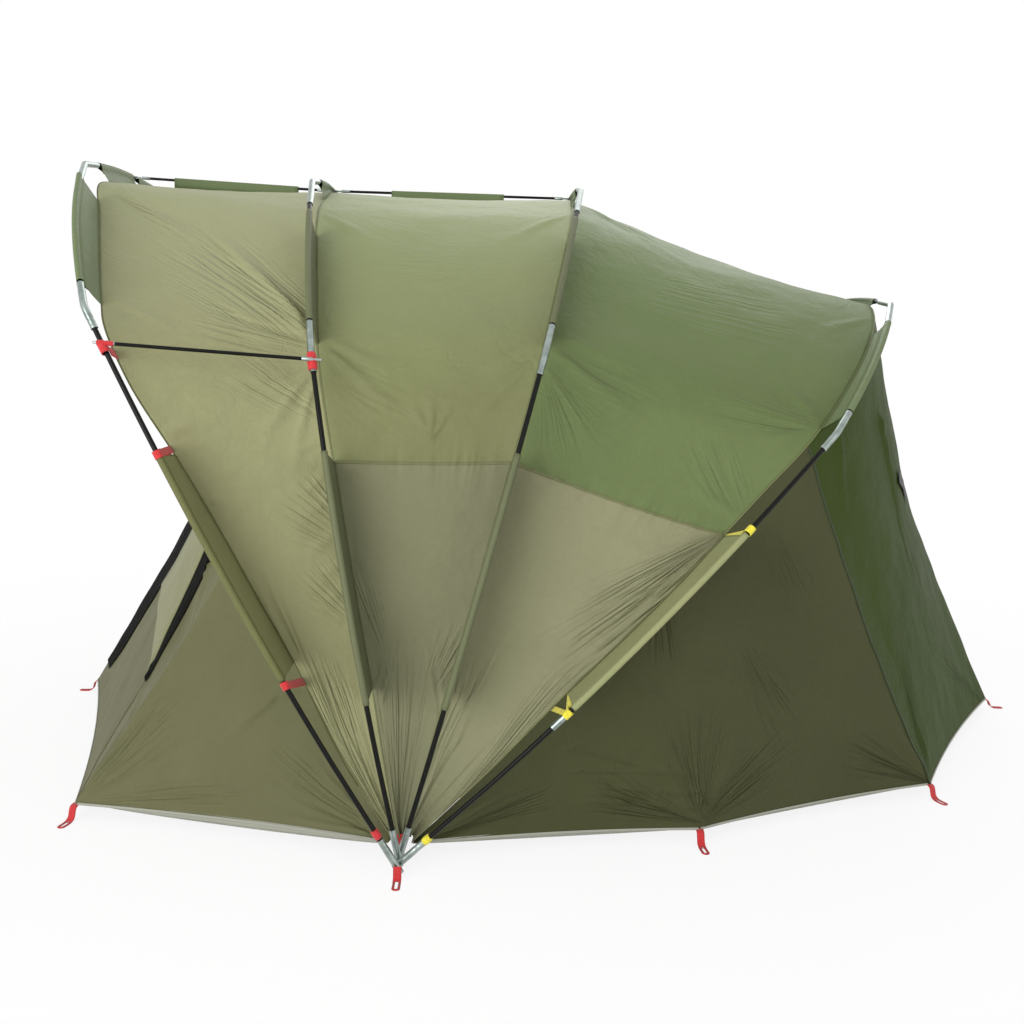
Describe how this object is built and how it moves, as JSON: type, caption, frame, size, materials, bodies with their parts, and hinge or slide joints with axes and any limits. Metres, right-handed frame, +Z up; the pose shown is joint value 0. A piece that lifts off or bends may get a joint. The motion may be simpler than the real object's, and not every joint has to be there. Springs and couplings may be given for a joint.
{
  "type": "bivvy tent",
  "caption": "Olive fan-framed bivvy tent: hoops on two ground hubs, porch canopy, tension bars, sloping walls and peg loops.",
  "frame": {"origin": "on the ground, under the middle of the tent's outline", "axes": "+X to the rear wall, +Y to the right of someone looking out of the front, +Z up"},
  "size_m": [3.098, 2.6642, 1.6551],
  "materials": {
    "porch_cloth": "light olive coated polyester",
    "canopy_cloth": "olive coated polyester",
    "wall_cloth": "dark olive coated polyester",
    "fibreglass": "black pultruded fibreglass",
    "steel": "zinc plated",
    "red_webbing": "woven red webbing"
  },
  "bodies": {
    "hubs": {"hub_pin_left": "steel", "hub_pin_right": "steel", "hub_loop_left": "red_webbing", "hub_loop_right": "red_webbing"},
    "hoop_4": {"hoop_4_leg_left": "fibreglass", "hoop_4_lower_elbow_left": "steel", "hoop_4_shoulder_pole_left": "fibreglass", "hoop_4_upper_elbow_left": "steel", "hoop_4_leg_right": "fibreglass", "hoop_4_lower_elbow_right": "steel", "hoop_4_shoulder_pole_right": "fibreglass", "hoop_4_upper_elbow_right": "steel", "hoop_4_top_pole": "fibreglass", "rear_canopy": "canopy_cloth", "rear_wall": "wall_cloth", "flank_loop_left": "red_webbing", "flank_loop_right": "red_webbing", "rear_corner_loop_left": "red_webbing", "rear_corner_loop_right": "red_webbing", "rear_centre_loop": "red_webbing"},
    "hoop_3": {"hoop_3_leg_left": "fibreglass", "hoop_3_lower_elbow_left": "steel", "hoop_3_shoulder_pole_left": "fibreglass", "hoop_3_upper_elbow_left": "steel", "hoop_3_leg_right": "fibreglass", "hoop_3_lower_elbow_right": "steel", "hoop_3_shoulder_pole_right": "fibreglass", "hoop_3_upper_elbow_right": "steel", "hoop_3_top_pole": "fibreglass", "mid_canopy": "canopy_cloth"},
    "hoop_2": {"hoop_2_leg_left": "fibreglass", "hoop_2_lower_elbow_left": "steel", "hoop_2_shoulder_pole_left": "fibreglass", "hoop_2_upper_elbow_left": "steel", "hoop_2_leg_right": "fibreglass", "hoop_2_lower_elbow_right": "steel", "hoop_2_shoulder_pole_right": "fibreglass", "hoop_2_upper_elbow_right": "steel", "hoop_2_top_pole": "fibreglass", "porch_canopy": "porch_cloth", "front_wall": "wall_cloth", "front_corner_loop_left": "red_webbing", "front_corner_loop_right": "red_webbing", "front_centre_loop": "red_webbing"},
    "hoop_1": {"hoop_1_leg_left": "fibreglass", "hoop_1_lower_elbow_left": "steel", "hoop_1_shoulder_pole_left": "fibreglass", "hoop_1_upper_elbow_left": "steel", "hoop_1_leg_right": "fibreglass", "hoop_1_lower_elbow_right": "steel", "hoop_1_shoulder_pole_right": "fibreglass", "hoop_1_upper_elbow_right": "steel", "hoop_1_top_pole": "fibreglass"},
    "top_bar_front": {"top_bar_front": "fibreglass"},
    "top_bar_rear": {"top_bar_rear": "fibreglass"},
    "side_bar_left": {"side_bar_left": "fibreglass"},
    "side_bar_right": {"side_bar_right": "fibreglass"}
  },
  "joints": [
    {"name": "hoop_4_fold", "type": "hinge", "parent": "hubs", "child": "hoop_4", "pos_m": [-0.406, 0, 0.02], "axis": [0, 1, 0], "range_deg": [0, 37.1], "deforming": ["rear_wall", "flank_loop_left", "flank_loop_right", "rear_corner_loop_left", "rear_corner_loop_right", "rear_centre_loop"]},
    {"name": "hoop_3_fold", "type": "hinge", "parent": "hoop_4", "child": "hoop_3", "pos_m": [-0.406, 0, 0.02], "axis": [0, 1, 0], "range_deg": [0, 27.6], "deforming": ["rear_canopy"]},
    {"name": "hoop_2_fold", "type": "hinge", "parent": "hoop_3", "child": "hoop_2", "pos_m": [-0.406, 0, 0.02], "axis": [0, 1, 0], "range_deg": [0, 23.45], "deforming": ["mid_canopy", "front_wall", "front_corner_loop_left", "front_corner_loop_right", "front_centre_loop"]},
    {"name": "hoop_1_fold", "type": "hinge", "parent": "hoop_2", "child": "hoop_1", "pos_m": [-0.406, 0, 0.02], "axis": [0, 1, 0], "range_deg": [0, 16.15], "deforming": ["porch_canopy"]},
    {"name": "top_bar_front_swing", "type": "hinge", "parent": "hoop_1", "child": "top_bar_front", "pos_m": [-1.31298, 0, 1.64818], "axis": [0.0332, -0.1483, 0.9884], "range_deg": [0, 95.24]},
    {"name": "top_bar_rear_swing", "type": "hinge", "parent": "hoop_2", "child": "top_bar_rear", "pos_m": [-0.697, 0, 1.62838], "axis": [0.0009, -0.4161, -0.9093], "range_deg": [0, 94.66]},
    {"name": "side_bar_left_swing", "type": "hinge", "parent": "hoop_1", "child": "side_bar_left", "pos_m": [-1.04552, -1.19374, 1.14504], "axis": [-0.2119, 0.8922, -0.3988], "range_deg": [0, 62.69]},
    {"name": "side_bar_right_swing", "type": "hinge", "parent": "hoop_1", "child": "side_bar_right", "pos_m": [-1.04552, 1.19374, 1.14504], "axis": [0.2119, 0.8922, 0.3988], "range_deg": [0, 62.69]}
  ],
  "couplings": [
    {"joint": "hoop_3_fold", "follows": "hoop_4_fold", "ratio": 0.74393},
    {"joint": "hoop_2_fold", "follows": "hoop_4_fold", "ratio": 0.63207},
    {"joint": "hoop_1_fold", "follows": "hoop_4_fold", "ratio": 0.4353},
    {"joint": "top_bar_front_swing", "follows": "hoop_4_fold", "ratio": 2.5671},
    {"joint": "top_bar_rear_swing", "follows": "hoop_4_fold", "ratio": 2.5516},
    {"joint": "side_bar_left_swing", "follows": "hoop_4_fold", "ratio": 1.6896},
    {"joint": "side_bar_right_swing", "follows": "hoop_4_fold", "ratio": 1.6896}
  ]
}
